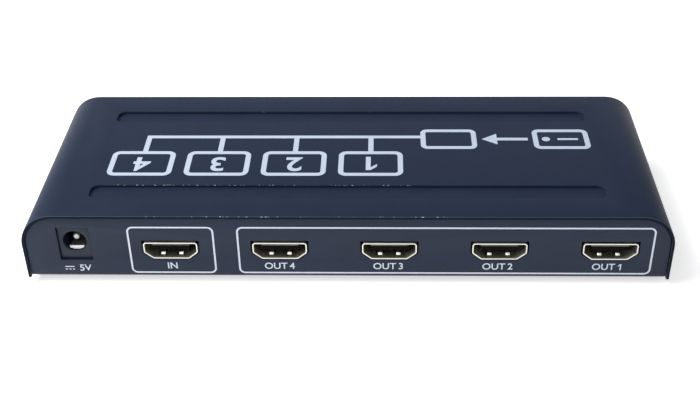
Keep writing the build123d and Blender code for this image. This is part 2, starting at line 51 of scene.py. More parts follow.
# Camera: it stands in front of the port side, a little to the right of the middle, and looks down.
# Its place, turns and lens were fitted to the box's edges and the five sockets.
mm = 0.001
camera_place = Vector((9.585, -281.017, 198.02)) * mm
camera_lens = 58.41
camera_clip = 10 * mm
yaw, pitch, roll = radians(-1.905), radians(34.856), radians(-0.979)
ahead = Vector((sin(yaw) * cos(pitch), cos(yaw) * cos(pitch), -sin(pitch)))
level_right = Vector((cos(yaw), -sin(yaw), 0))
level_up = level_right.cross(ahead)
camera_right = level_right * cos(roll) + level_up * sin(roll)
camera_up = level_up * cos(roll) - level_right * sin(roll)
camera_turn = Matrix((camera_right, camera_up, -ahead)).transposed().to_4x4()
camera_data = bpy.data.cameras.new("photo_camera")
camera_data.lens = camera_lens
camera_data.clip_start = camera_clip
camera = bpy.data.objects.new("photo_camera", camera_data)
camera.matrix_world = Matrix.Translation(camera_place) @ camera_turn
bpy.context.scene.collection.objects.link(camera)
bpy.context.scene.camera = camera

# Base chassis: one steel sheet, cut and folded up into the port panel, the lamp panel and four screw tabs,
# then powder coated. The coat is thick enough to round every cut edge a little.
chassis_colour = (0.0110, 0.0196, 0.0445)
chassis_rounding = 0.1 * mm
merge_distance = 0.0005 * mm
flat_angle = radians(0.2)
edge_angle = radians(35)
crease_angle = radians(30)


def new_group(name, inputs, outputs):
    """An empty shader group with named sockets, given as (name, kind, value) and (name, kind)."""
    group = bpy.data.node_groups.new(name, "ShaderNodeTree")
    for label, kind, value in inputs:
        socket = group.interface.new_socket(name=label, in_out="INPUT", socket_type=kind)
        if value is not None:
            socket.default_value = value
    for label, kind in outputs:
        group.interface.new_socket(name=label, in_out="OUTPUT", socket_type=kind)
    return group, group.nodes.new("NodeGroupInput"), group.nodes.new("NodeGroupOutput")


def set_input(tree, slot, term):
    """Link a term that is a socket to an input, or set the input to it where it is a plain value."""
    if isinstance(term, bpy.types.NodeSocket):
        tree.links.new(term, slot)
    else:
        slot.default_value = term


def calculate(tree, operation, *terms):
    """A Math node on sockets or plain numbers; returns its result."""
    node = tree.nodes.new("ShaderNodeMath")
    node.operation = operation
    for slot, term in zip(node.inputs, terms):
        set_input(tree, slot, term)
    return node.outputs[0]


def noise(tree, place, scale, detail=2.0):
    """A noise pattern on a place, its grains about 1 / scale metres wide."""
    node = tree.nodes.new("ShaderNodeTexNoise")
    node.inputs["Detail"].default_value = detail
    tree.links.new(place, node.inputs["Vector"])
    set_input(tree, node.inputs["Scale"], scale)
    return node.outputs["Fac"]


def make_surface_grain():
    """Fine grain with slow cloudy changes, used in every finish with its own values."""
    group, given, result = new_group(
        "surface_grain",
        [
            ("Place", "NodeSocketVector", None),
            ("Colour", "NodeSocketColor", (0.5, 0.5, 0.5, 1)),
            ("Colour Shift", "NodeSocketFloat", 0.1),
            ("Roughness", "NodeSocketFloat", 0.5),
            ("Roughness Shift", "NodeSocketFloat", 0.1),
            ("Grain Scale", "NodeSocketFloat", 2000.0),
        ],
        [("Colour", "NodeSocketColor"), ("Roughness", "NodeSocketFloat"), ("Height", "NodeSocketFloat")],
    )
    middle_tone = 0.5
    cloud_share = 0.05
    place, grain_scale = given.outputs["Place"], given.outputs["Grain Scale"]
    fine = noise(group, place, grain_scale)
    cloudy = noise(group, place, calculate(group, "MULTIPLY", grain_scale, cloud_share))
    swing = calculate(group, "SUBTRACT", cloudy, middle_tone)
    swing = calculate(group, "MULTIPLY", swing, given.outputs["Colour Shift"])
    tone = group.nodes.new("ShaderNodeHueSaturation")
    group.links.new(given.outputs["Colour"], tone.inputs["Color"])
    group.links.new(calculate(group, "ADD", swing, 1.0), tone.inputs["Value"])
    spread = calculate(group, "SUBTRACT", fine, middle_tone)
    spread = calculate(group, "MULTIPLY", spread, given.outputs["Roughness Shift"])
    group.links.new(tone.outputs["Color"], result.inputs["Colour"])
    group.links.new(calculate(group, "ADD", spread, given.outputs["Roughness"]), result.inputs["Roughness"])
    group.links.new(fine, result.inputs["Height"])
    return group


surface_grain = make_surface_grain()


def make_finish(name, colour, roughness, metallic=0.0, shine=0.5, grain=2000.0, relief=0.01, shift=0.15):
    """A grained finish: its grain per metre, its relief in mm, and how much its tone and gloss wander."""
    relief_strength = 0.6
    material = bpy.data.materials.new(name)
    material.use_nodes = True
    tree = material.node_tree
    shader = tree.nodes["Principled BSDF"]
    shader.inputs["Metallic"].default_value = metallic
    shader.inputs["Specular IOR Level"].default_value = shine
    place = tree.nodes.new("ShaderNodeTexCoord")
    place.name = "place"
    group = tree.nodes.new("ShaderNodeGroup")
    group.node_tree = surface_grain
    tree.links.new(place.outputs["Object"], group.inputs["Place"])
    group.inputs["Colour"].default_value = (*colour, 1)
    group.inputs["Colour Shift"].default_value = shift
    group.inputs["Roughness"].default_value = roughness
    group.inputs["Roughness Shift"].default_value = shift
    group.inputs["Grain Scale"].default_value = grain
    bump = tree.nodes.new("ShaderNodeBump")
    bump.inputs["Distance"].default_value = relief * mm
    bump.inputs["Strength"].default_value = relief_strength
    tree.links.new(group.outputs["Height"], bump.inputs["Height"])
    tree.links.new(group.outputs["Colour"], shader.inputs["Base Color"])
    tree.links.new(group.outputs["Roughness"], shader.inputs["Roughness"])
    tree.links.new(bump.outputs["Normal"], shader.inputs["Normal"])
    return material


def finished(piece, material):
    """Give a piece its finish."""
    piece.data.materials.clear()
    piece.data.materials.append(material)


def added(name, mesh):
    """A new piece at the origin that rides on the box."""
    piece = bpy.data.objects.new(name, mesh)
    bpy.context.scene.collection.objects.link(piece)
    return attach(piece, "root")


def softened(node, radius, segments=2):
    """A copy of a CAD piece with its sharp edges rounded, which stands for that piece. Rounding moves no
    point by more than its radius, so any that it throws farther goes back to the CAD surface."""
    mesh = cad[node].data.copy()
    shape = bmesh.new()
    shape.from_mesh(mesh)
    bmesh.ops.remove_doubles(shape, verts=shape.verts, dist=merge_distance)
    bmesh.ops.dissolve_limit(shape, angle_limit=flat_angle, verts=shape.verts, edges=shape.edges)
    shape.to_mesh(mesh)
    shape.free()
    if "custom_normal" in mesh.attributes:
        mesh.attributes.remove(mesh.attributes["custom_normal"])
    piece = bpy.data.objects.new(f"{node}_softened", mesh)
    bpy.context.scene.collection.objects.link(piece)
    bevel = piece.modifiers.new("round_edges", "BEVEL")
    bevel.width = radius
    bevel.segments = segments
    bevel.limit_method = "ANGLE"
    bevel.angle_limit = edge_angle
    bevel.use_clamp_overlap = False
    bevel.harden_normals = False
    graph = bpy.context.evaluated_depsgraph_get()
    mesh = bpy.data.meshes.new_from_object(piece.evaluated_get(graph))
    bpy.data.objects.remove(piece)
    faces = [tuple(face.vertices) for face in cad[node].data.polygons]
    surface = BVHTree.FromPolygons([vertex.co for vertex in cad[node].data.vertices], faces)
    for vertex in mesh.vertices:
        nearest, _, _, distance = surface.find_nearest(vertex.co)
        if distance > radius:
            vertex.co = nearest
    mesh.shade_smooth()
    mesh.set_sharp_from_angle(angle=crease_angle)
    piece = added(f"{node}_softened", mesh)
    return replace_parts(piece, node)


panel_coat = make_finish(
    "panel_powder_coat", chassis_colour, 0.5, shine=0.28, grain=2600.0, relief=0.03, shift=0.2
)
finished(softened("base_chassis", chassis_rounding), panel_coat)

# Feet: four round feet moulded in matt black rubber.
# They are stuck under the chassis, near its corners.
foot_rubber = make_finish("foot_rubber", (0.03, 0.03, 0.03), 0.85, grain=3500.0, relief=0.02)
for corner in ("port_left", "port_right", "lamp_left", "lamp_right"):
    finished(cad[f"{corner}_foot"], foot_rubber)

# Standoffs and board screws: turned brass standoffs pressed into the chassis plate, and zinc-plated
# pan-head screws that hold the board down on them.
standoff_brass = make_finish(
    "standoff_brass", (0.72, 0.56, 0.27), 0.32, metallic=1.0, grain=900.0, relief=0.004
)
zinc_plate = make_finish("zinc_plate", (0.62, 0.62, 0.63), 0.35, metallic=1.0, grain=1500.0, relief=0.004)
finished(cad["board_standoffs"], standoff_brass)
finished(cad["board_screws"], zinc_plate)

# Circuit board: glass laminate with a green solder mask over copper tracks, which show as paler lines.
# It lies on the standoffs under the four screws, and carries the sockets, the jack and the small parts.
board_mask = make_finish("solder_mask", (0.03, 0.19, 0.09), 0.3, grain=1200.0, relief=0.003)
track_colour = (0.07, 0.30, 0.13, 1)
track_pitch = 3.0 * mm
track_width_share = 0.06
patch_scale = 60.0
bare_patch_share = 0.47


def blend_colours(tree, share, first, second):
    """A colour mix; a colour is a socket or four numbers."""
    node = tree.nodes.new("ShaderNodeMix")
    node.data_type = "RGBA"
    share_slot, first_slot, second_slot = node.inputs[0], node.inputs[6], node.inputs[7]
    tree.links.new(share, share_slot)
    set_input(tree, first_slot, first)
    set_input(tree, second_slot, second)
    return node.outputs[2]


def draw_tracks(material):
    """Show the tracks under the mask: thin bands that step along in rows, over about half the board."""
    tree = material.node_tree
    place = tree.nodes["place"].outputs["Object"]
    colour_slot = tree.nodes["Principled BSDF"].inputs["Base Color"]
    bands = tree.nodes.new("ShaderNodeTexBrick")
    bands.inputs["Scale"].default_value = 1 / track_pitch
    bands.inputs["Mortar Size"].default_value = track_width_share
    bands.inputs["Color1"].default_value = (0, 0, 0, 1)
    bands.inputs["Color2"].default_value = (0, 0, 0, 1)
    bands.inputs["Mortar"].default_value = (1, 1, 1, 1)
    tree.links.new(place, bands.inputs["Vector"])
    patches = calculate(tree, "GREATER_THAN", noise(tree, place, patch_scale), bare_patch_share)
    shown = calculate(tree, "MULTIPLY", bands.outputs["Color"], patches)
    mixed = blend_colours(tree, shown, colour_slot.links[0].from_socket, track_colour)
    tree.links.new(mixed, colour_slot)


draw_tracks(board_mask)
finished(cad["circuit_board"], board_mask)

# Video sockets: each a folded and gold-plated steel shell with spring fingers, round a moulded core
# whose tongue carries two rows of gold-plated contacts. Above 12.5 mm the core is paler: a painted
# highlight along the tongue's upper edge.
shell_rounding = 0.07 * mm
shell_plating = make_finish(
    "shell_plating", (0.68, 0.67, 0.60), 0.38, metallic=1.0, grain=1400.0, relief=0.002
)
core_plastic = make_finish(
    "core_plastic", (0.004, 0.003, 0.003), 0.5, shine=0.04, grain=2500.0, relief=0.002
)
contact_gold = make_finish(
    "contact_gold", (0.86, 0.66, 0.30), 0.24, metallic=1.0, grain=2500.0, relief=0.002
)
# Painted highlight: the core is paler wherever it stands higher than 12.5 mm, along the tongue's upper
# edge.
painted_tongue_highlight = {
    "Axis": (0, 0, 1),
    "Middle": 0.0,
    "Reach": 12.5 * mm,
    "End Colour": (0.30, 0.29, 0.27, 1),
}


def make_end_colour():
    """Another colour wherever a point lies farther than Reach from the middle along an axis."""
    group, given, result = new_group(
        "end_colour",
        [
            ("Place", "NodeSocketVector", None),
            ("Under", "NodeSocketColor", (0.02, 0.02, 0.02, 1)),
            ("Axis", "NodeSocketVector", (0, 0, 1)),
            ("Middle", "NodeSocketFloat", 0.0),
            ("Reach", "NodeSocketFloat", 1.0 * mm),
            ("End Colour", "NodeSocketColor", (0.5, 0.5, 0.5, 1)),
        ],
        [("Colour", "NodeSocketColor"), ("Mask", "NodeSocketFloat")],
    )
    along = group.nodes.new("ShaderNodeVectorMath")
    along.operation = "DOT_PRODUCT"
    group.links.new(given.outputs["Place"], along.inputs[0])
    group.links.new(given.outputs["Axis"], along.inputs[1])
    away = calculate(group, "SUBTRACT", along.outputs["Value"], given.outputs["Middle"])
    away = calculate(group, "ABSOLUTE", away)
    beyond = calculate(group, "GREATER_THAN", away, given.outputs["Reach"])
    colour = blend_colours(group, beyond, given.outputs["Under"], given.outputs["End Colour"])
    group.links.new(colour, result.inputs["Colour"])
    group.links.new(beyond, result.inputs["Mask"])
    return group


end_colour = make_end_colour()


def lay_over(material, group, values, mask_sets_metallic=False):
    """Lay a group's colour over what a finish shows so far, with its values by input name. Where
    mask_sets_metallic is set, the group's mask sets Metallic."""
    tree = material.node_tree
    shader = tree.nodes["Principled BSDF"]
    layer = tree.nodes.new("ShaderNodeGroup")
    layer.node_tree = group
    tree.links.new(tree.nodes["place"].outputs["Object"], layer.inputs["Place"])
    tree.links.new(shader.inputs["Base Color"].links[0].from_socket, layer.inputs["Under"])
    for label, value in values.items():
        layer.inputs[label].default_value = value
    tree.links.new(layer.outputs["Colour"], shader.inputs["Base Color"])
    if mask_sets_metallic:
        tree.links.new(layer.outputs["Mask"], shader.inputs["Metallic"])


lay_over(core_plastic, end_colour, painted_tongue_highlight)
for socket in ("input", "output_1", "output_2", "output_3", "output_4"):
    finished(softened(f"{socket}_socket_shell", shell_rounding), shell_plating)
    finished(cad[f"{socket}_socket_core"], core_plastic)
    finished(cad[f"{socket}_socket_contacts"], contact_gold)

# Power jack: a moulded black body with a barrel for the plug, a nickel-plated centre pin and two
# more nickel-plated contacts, soldered to the board.
jack_rounding = 0.08 * mm
jack_plastic = make_finish(
    "jack_plastic", (0.010, 0.017, 0.034), 0.45, shine=0.3, grain=2200.0, relief=0.008
)
nickel_plate = make_finish(
    "nickel_plate", (0.50, 0.50, 0.49), 0.5, metallic=1.0, grain=1800.0, relief=0.003
)
finished(softened("dc_jack_body", jack_rounding), jack_plastic)
for contact in ("centre_pin", "spring_contact", "shunt_contact"):
    finished(cad[f"dc_jack_{contact}"], nickel_plate)

# Indicator lamps: lenses moulded in clear epoxy, which stand in the far panel's holes.
# Their tinned leads turn down into the board.
lens_clearness = 0.7
lamp_epoxy = make_finish("lamp_epoxy", (0.82, 0.85, 0.86), 0.16, grain=800.0, relief=0.002, shift=0.05)
lamp_epoxy.node_tree.nodes["Principled BSDF"].inputs["Transmission Weight"].default_value = lens_clearness
tin_plate = make_finish("tin_plate", (0.70, 0.70, 0.70), 0.38, metallic=1.0, grain=2500.0, relief=0.003)
for lamp in ("power", "input", "output_1", "output_2", "output_3", "output_4"):
    finished(cad[f"{lamp}_led"], lamp_epoxy)
finished(cad["led_leads"], tin_plate)

# Chips and small parts: moulded chips on tinned pins, a shielded coil, two aluminium cans, a crystal
# can, and rows of ceramic resistors with tinned ends and capacitors, all soldered on the board's top.
chip_epoxy = make_finish("chip_epoxy", (0.03, 0.03, 0.032), 0.6, grain=3000.0, relief=0.006)
coil_ferrite = make_finish("coil_ferrite", (0.09, 0.09, 0.095), 0.7, grain=2800.0, relief=0.01)
can_aluminium = make_finish(
    "can_aluminium", (0.80, 0.80, 0.81), 0.3, metallic=1.0, grain=1500.0, relief=0.002
)
crystal_can = make_finish(
    "crystal_can", (0.74, 0.73, 0.71), 0.34, metallic=1.0, grain=1500.0, relief=0.002
)
resistor_glaze = make_finish("resistor_glaze", (0.05, 0.05, 0.055), 0.3, grain=2500.0, relief=0.002)
capacitor_ceramic = make_finish("capacitor_ceramic", (0.45, 0.33, 0.22), 0.5, grain=2500.0, relief=0.003)
small_parts = {
    "splitter_chip": (chip_epoxy, "chip_plastic"),
    "memory_chip": (chip_epoxy, "chip_plastic"),
    "voltage_regulator": (chip_epoxy, "chip_plastic"),
    "protection_diode": (chip_epoxy, "chip_plastic"),
    "splitter_chip_pins": (tin_plate, "tinned_lead"),
    "memory_chip_pins": (tin_plate, "tinned_lead"),
    "voltage_regulator_leads": (tin_plate, "tinned_lead"),
    "power_inductor": (coil_ferrite, "ferrite"),
    "input_capacitor": (can_aluminium, "can_aluminium"),
    "output_capacitor": (can_aluminium, "can_aluminium"),
    "clock_crystal": (crystal_can, "crystal_metal"),
    "small_resistors": (resistor_glaze, "resistor_ceramic"),
    "small_capacitors": (capacitor_ceramic, "capacitor_ceramic"),
}
for name, (material, slot) in small_parts.items():
    finished(cad[name], material)
resistors_low, resistors_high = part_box("small_resistors")
tinned_ends = {
    "Axis": (0, 1, 0),
    "Middle": (resistors_low.y + resistors_high.y) / 2,
    "Reach": 0.5 * mm,
    "End Colour": (0.70, 0.70, 0.70, 1),
}
lay_over(resistor_glaze, end_colour, tinned_ends, mask_sets_metallic=True)

# Top cover: one steel sheet with two long channels pressed in it, rolled down at both ends, and powder
# coated with a coarser grain than the panels. Its long cut edges carry painted light: a painted
# highlight along the rim, painted glints along one stretch of it, and painted shade on the cut face.
# Two stretches of the channels' rims carry painted glints.
cover_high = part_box("top_cover")[1]
cover_colour = (0.0119, 0.0196, 0.0414)
cover_rounding = 0.12 * mm
cover_rounding_steps = 3
rim_width = 0.25 * mm
cut_width = 0.02 * mm
# Painted light on both long cut edges: a paler rim is a painted highlight, pale specks in one stretch are
# painted glints, and the nearly black metal cut face is painted shade.
edge_highlight_and_shade = {
    "Rim Highlight Colour": (0.045, 0.058, 0.082, 1),
    "Glint Colour": (0.42, 0.45, 0.48, 1),
    "Cut Shade Colour": (0.008, 0.012, 0.020, 1),
    "Rim Start": cover_high.y - rim_width,
    "Cut Start": cover_high.y - cut_width,
    "Run Middle": -20.0 * mm,
    "Half Length": 52.0 * mm,
    "Glint Share": 0.82,
}
# Painted glints: pale specks of painted highlight along stretches of the two channels' rims.
port_side_rim_glints = {"Row": -17.45 * mm, "Run Middle": -24.0 * mm, "Half Length": 42.0 * mm, "Glint Share": 0.58}
lamp_side_rim_glints = {"Row": 23.55 * mm, "Run Middle": -12.0 * mm, "Half Length": 26.0 * mm, "Glint Share": 0.66}


def within(tree, value, middle, reach):
    """A mask of where a value lies less than reach from a middle."""
    away = calculate(tree, "ABSOLUTE", calculate(tree, "SUBTRACT", value, middle))
    return calculate(tree, "LESS_THAN", away, reach)


def make_cut_edge_wear():
    """Painted light at a sheet's long cut edges: a painted highlight on the rim, painted glints along a
    stretch of it, and painted shade on the cut, made of nearly black metal.
    """
    group, given, result = new_group(
        "cut_edge_highlight_and_shade",
        [
            ("Place", "NodeSocketVector", None),
            ("Under", "NodeSocketColor", (0.02, 0.02, 0.02, 1)),
            ("Rim Highlight Colour", "NodeSocketColor", (0.09, 0.10, 0.12, 1)),
            ("Glint Colour", "NodeSocketColor", (0.5, 0.5, 0.48, 1)),
            ("Cut Shade Colour", "NodeSocketColor", (0.01, 0.01, 0.01, 1)),
            ("Rim Start", "NodeSocketFloat", 10.0 * mm),
            ("Cut Start", "NodeSocketFloat", 10.0 * mm),
            ("Run Middle", "NodeSocketFloat", 0.0),
            ("Half Length", "NodeSocketFloat", 10.0 * mm),
            ("Glint Share", "NodeSocketFloat", 0.7),
        ],
        [("Colour", "NodeSocketColor"), ("Mask", "NodeSocketFloat")],
    )
    stretch_scale, stretch_depth = 45.0, 0.35
    glint_scale, glint_detail = 1500.0, 3.0
    place = given.outputs["Place"]
    axes = group.nodes.new("ShaderNodeSeparateXYZ")
    group.links.new(place, axes.inputs[0])
    reach = calculate(group, "ABSOLUTE", axes.outputs["Y"])
    on_rim = calculate(group, "GREATER_THAN", reach, given.outputs["Rim Start"])
    on_cut = calculate(group, "GREATER_THAN", reach, given.outputs["Cut Start"])
    on_run = within(group, axes.outputs["X"], given.outputs["Run Middle"], given.outputs["Half Length"])
    stretches = calculate(group, "MULTIPLY", noise(group, place, stretch_scale), stretch_depth)
    grains = calculate(group, "ADD", noise(group, place, glint_scale, glint_detail), stretches)
    glints = calculate(group, "GREATER_THAN", grains, given.outputs["Glint Share"])
    glints = calculate(group, "MULTIPLY", glints, calculate(group, "MULTIPLY", on_rim, on_run))
    colour = blend_colours(group, on_rim, given.outputs["Under"], given.outputs["Rim Highlight Colour"])
    colour = blend_colours(group, glints, colour, given.outputs["Glint Colour"])
    colour = blend_colours(group, on_cut, colour, given.outputs["Cut Shade Colour"])
    group.links.new(colour, result.inputs["Colour"])
    group.links.new(on_cut, result.inputs["Mask"])
    return group


def make_rim_specks():
    """Painted glints: tiny pale specks of painted highlight on a pressed rim that runs along X."""
    group, given, result = new_group(
        "rim_glints",
        [
            ("Place", "NodeSocketVector", None),
            ("Under", "NodeSocketColor", (0.02, 0.02, 0.02, 1)),
            ("Glint Colour", "NodeSocketColor", (0.24, 0.26, 0.28, 1)),
            ("Row", "NodeSocketFloat", 0.0),
            ("Half Width", "NodeSocketFloat", 0.09 * mm),
            ("Run Middle", "NodeSocketFloat", 0.0),
            ("Half Length", "NodeSocketFloat", 10.0 * mm),
            ("Glint Share", "NodeSocketFloat", 0.7),
        ],
        [("Colour", "NodeSocketColor")],
    )
    speck_scale, speck_detail = 1100.0, 3.0
    place = given.outputs["Place"]
    axes = group.nodes.new("ShaderNodeSeparateXYZ")
    group.links.new(place, axes.inputs[0])
    on_rim = within(group, axes.outputs["Y"], given.outputs["Row"], given.outputs["Half Width"])
    on_run = within(group, axes.outputs["X"], given.outputs["Run Middle"], given.outputs["Half Length"])
    grains = noise(group, place, speck_scale, speck_detail)
    glints = calculate(group, "GREATER_THAN", grains, given.outputs["Glint Share"])
    glints = calculate(group, "MULTIPLY", glints, calculate(group, "MULTIPLY", on_rim, on_run))
    colour = blend_colours(group, glints, given.outputs["Under"], given.outputs["Glint Colour"])
    group.links.new(colour, result.inputs["Colour"])
    return group


rim_glints = make_rim_specks()
cover_coat = make_finish(
    "cover_powder_coat", cover_colour, 0.5, shine=0.065, grain=2200.0, relief=0.08, shift=0.25
)
lay_over(cover_coat, make_cut_edge_wear(), edge_highlight_and_shade, mask_sets_metallic=True)
for glinting_rim in (port_side_rim_glints, lamp_side_rim_glints):
    lay_over(cover_coat, rim_glints, glinting_rim)
finished(softened("top_cover", cover_rounding, cover_rounding_steps), cover_coat)

# Cover screws: four black countersunk screws with cross recesses, two through each end of the cover
# into the chassis tabs.
screws_low, screws_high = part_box("cover_screws")
head_radius = (screws_high.z - screws_low.z) / 2
shank_radius = 1.5 * mm
screw_length = 5.0 * mm
recess_width = 0.8 * mm
recess_length = 3.2 * mm
recess_depth = 1.0 * mm
head_sides = 48
shank_sides = 24


def make_screw_tree(material):
    """One screw at every point, its head outwards along X."""
    tree = bpy.data.node_groups.new("cross_recess_screws", "GeometryNodeTree")
    tree.interface.new_socket(name="Geometry", in_out="INPUT", socket_type="NodeSocketGeometry")
    for label in ("Head Radius", "Shank Radius", "Length", "Recess Width", "Recess Length", "Recess Depth"):
        tree.interface.new_socket(name=label, in_out="INPUT", socket_type="NodeSocketFloat")
    tree.interface.new_socket(name="Geometry", in_out="OUTPUT", socket_type="NodeSocketGeometry")
    given, result = tree.nodes.new("NodeGroupInput"), tree.nodes.new("NodeGroupOutput")

    def node(kind, **terms):
        """A node with its inputs set by name, where _ stands for a space."""
        made = tree.nodes.new(kind)
        for slot, term in terms.items():
            set_input(tree, made.inputs[slot.replace("_", " ")], term)
        return made

    def vector(x=0.0, y=0.0, z=0.0):
        """A vector of sockets or plain numbers."""
        return node("ShaderNodeCombineXYZ", X=x, Y=y, Z=z).outputs[0]

    size = given.outputs
    depth = calculate(tree, "SUBTRACT", size["Head Radius"], size["Shank Radius"])
    head = node(
        "GeometryNodeMeshCone",
        Vertices=head_sides,
        Radius_Top=size["Head Radius"],
        Radius_Bottom=size["Shank Radius"],
        Depth=depth,
    )
    seated = node(
        "GeometryNodeTransform",
        Geometry=head.outputs["Mesh"],
        Translation=vector(z=calculate(tree, "MULTIPLY", depth, -1.0)),
    )
    twice_deep = calculate(tree, "MULTIPLY", size["Recess Depth"], 2.0)
    slots = [
        node("GeometryNodeMeshCube", Size=vector(size["Recess Width"], size["Recess Length"], twice_deep)),
        node("GeometryNodeMeshCube", Size=vector(size["Recess Length"], size["Recess Width"], twice_deep)),
    ]
    recessed = tree.nodes.new("GeometryNodeMeshBoolean")
    recessed.operation = "DIFFERENCE"
    tree.links.new(seated.outputs["Geometry"], recessed.inputs[0])
    for slot in slots:
        tree.links.new(slot.outputs["Mesh"], recessed.inputs[1])
    shank = node(
        "GeometryNodeMeshCylinder", Vertices=shank_sides, Radius=size["Shank Radius"], Depth=size["Length"]
    )
    shank_drop = calculate(tree, "MULTIPLY", calculate(tree, "ADD", size["Length"], depth), -0.5)
    shank = node(
        "GeometryNodeTransform",
        Geometry=shank.outputs["Mesh"],
        Translation=vector(z=shank_drop),
    )
    screw = tree.nodes.new("GeometryNodeJoinGeometry")
    tree.links.new(recessed.outputs["Mesh"], screw.inputs[0])
    tree.links.new(shank.outputs["Geometry"], screw.inputs[0])
    along = tree.nodes.new("ShaderNodeSeparateXYZ")
    tree.links.new(tree.nodes.new("GeometryNodeInputPosition").outputs[0], along.inputs[0])
    outwards = node("FunctionNodeAlignEulerToVector", Vector=vector(x=along.outputs["X"]))
    outwards.axis = "Z"
    placed = node(
        "GeometryNodeInstanceOnPoints",
        Points=size["Geometry"],
        Instance=screw.outputs["Geometry"],
        Rotation=outwards.outputs[0],
    )
    real = node("GeometryNodeRealizeInstances", Geometry=placed.outputs["Instances"])
    coated = node("GeometryNodeSetMaterial", Geometry=real.outputs["Geometry"], Material=material)
    tree.links.new(coated.outputs["Geometry"], result.inputs["Geometry"])
    return tree


def grow(name, points, tree, values):
    """Run a Geometry Nodes tree on points with its named inputs set, and return the mesh that it makes."""
    seed = bpy.data.meshes.new(name)
    seed.from_pydata(points, [], [])
    piece = bpy.data.objects.new(name, seed)
    bpy.context.scene.collection.objects.link(piece)
    modifier = piece.modifiers.new("grow", "NODES")
    modifier.node_group = tree
    for item in tree.interface.items_tree:
        if item.item_type == "SOCKET" and item.in_out == "INPUT" and item.name in values:
            modifier[item.identifier] = values[item.name]
    graph = bpy.context.evaluated_depsgraph_get()
    mesh = bpy.data.meshes.new_from_object(piece.evaluated_get(graph))
    piece.modifiers.clear()
    bpy.data.objects.remove(piece)
    return mesh


black_zinc = make_finish("black_zinc", (0.03, 0.03, 0.032), 0.38, metallic=0.6, grain=2500.0, relief=0.004)
screw_y = screws_high.y - head_radius
screw_z = (screws_high.z + screws_low.z) / 2
screw_points = [(x, y, screw_z) for x in (screws_low.x, screws_high.x) for y in (-screw_y, screw_y)]
screw_sizes = {
    "Head Radius": head_radius,
    "Shank Radius": shank_radius,
    "Length": screw_length - (head_radius - shank_radius),
    "Recess Width": recess_width,
    "Recess Length": recess_length,
    "Recess Depth": recess_depth,
}
screw_mesh = grow("recessed_cover_screws", screw_points, make_screw_tree(black_zinc), screw_sizes)
screw_mesh.set_sharp_from_angle(angle=crease_angle)
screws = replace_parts(added("recessed_cover_screws", screw_mesh), "cover_screws")

# Panel print: pale screen-printed ink on the port panel. A border goes round the input and another
# round the outputs, with plain words under the sockets and the sign for direct current by the jack.
# The sizes and places of the print are in mm, across the panel and up it.
# Painted light: this ink is paler than the cover's ink of the same kind, to brighten the print on the
# upright panel.
panel_ink_painted_brighter = make_finish("panel_ink_painted_brighter", (0.82, 0.88, 0.99), 0.55, grain=3000.0, relief=0.004, shift=0.05)
ink_depth = 0.03 * mm
ink_merge_distance = 0.001 * mm
border_line = 0.5
border_low, border_high = 3.7, 19.0
border_radius = 1.5
input_border = (-59.4, -36.15)
output_border = (-29.45, 83.35)
word_row, word_height, word_weight = 5.95, 2.1, 0.03
word_shift, numeral_shift = -1.3, 3.2
supply_place = (-72.6, 5.1)
sign_middle, sign_length, sign_line = -76.9, 2.6, 0.3
steady_row, broken_row = 5.6, 4.7
dash_length, dash_pitch = 0.6, 1.0


def rounded(middle, width, height, radius, steps=8):
    """A rectangle's outline with round corners."""
    points = []
    for turn, (sx, sy) in enumerate(((1, 1), (-1, 1), (-1, -1), (1, -1))):
        centre = (middle[0] + sx * (width / 2 - radius), middle[1] + sy * (height / 2 - radius))
        for step in range(steps + 1):
            angle = (turn + step / steps) * pi / 2
            points.append((centre[0] + radius * cos(angle), centre[1] + radius * sin(angle)))
    return points


def framed(middle, width, height, radius, line):
    """The two outlines of a rounded frame whose line's middle has this width and height."""
    return [
        rounded(middle, width + line, height + line, radius + line / 2),
        rounded(middle, width - line, height - line, radius - line / 2),
    ]


def block(middle, width, height):
    """A rectangle's outline with square corners."""
    left, right = middle[0] - width / 2, middle[0] + width / 2
    low, high = middle[1] - height / 2, middle[1] + height / 2
    return [(left, low), (right, low), (right, high), (left, high)]


def flat_mesh(curve):
    """The mesh of a filled flat curve."""
    drawn = bpy.data.objects.new("drawn", curve)
    bpy.context.scene.collection.objects.link(drawn)
    graph = bpy.context.evaluated_depsgraph_get()
    mesh = bpy.data.meshes.new_from_object(drawn.evaluated_get(graph))
    bpy.data.objects.remove(drawn)
    return mesh


def drawn_outlines(outlines):
    """Filled ink inside closed outlines; an outline inside another is a hole."""
    curve = bpy.data.curves.new("outlines", "CURVE")
    curve.dimensions = "2D"
    curve.fill_mode = "BOTH"
    curve.extrude = ink_depth
    for points in outlines:
        spline = curve.splines.new("POLY")
        spline.points.add(len(points) - 1)
        for point, (x, y) in zip(spline.points, points):
            point.co = (x * mm, y * mm, 0, 1)
        spline.use_cyclic_u = True
    return flat_mesh(curve)


def drawn_word(word, middle, height, weight):
    """A word in plain letters centred on middle; height is that of a capital."""
    capital_share = 0.7
    curve = bpy.data.curves.new("word", "FONT")
    curve.body = word
    curve.size = height * mm / capital_share
    curve.align_x = "CENTER"
    curve.align_y = "CENTER"
    curve.extrude = ink_depth
    curve.offset = weight * mm
    mesh = flat_mesh(curve)
    mesh.transform(Matrix.Translation((middle[0] * mm, middle[1] * mm, 0)))
    return mesh


def drawn_numeral(number, middle, height, weight):
    """A numeral centred on middle; the 1 is drawn here with its flag, which the plain letters lack."""
    if number != 1:
        return drawn_word(str(number), middle, height, weight)
    stem_share, flag_share = 0.14, 0.26
    half = height / 2
    stem = stem_share * height + 2 * weight
    flag = flag_share * height
    stem_points = [(0, -half), (stem, -half), (stem, half), (0, half)]
    flag_points = [(-flag, half - flag), (-flag, half - flag - stem), (0, half - stem)]
    return drawn_outlines([[(middle[0] + x, middle[1] + y) for x, y in stem_points + flag_points]])


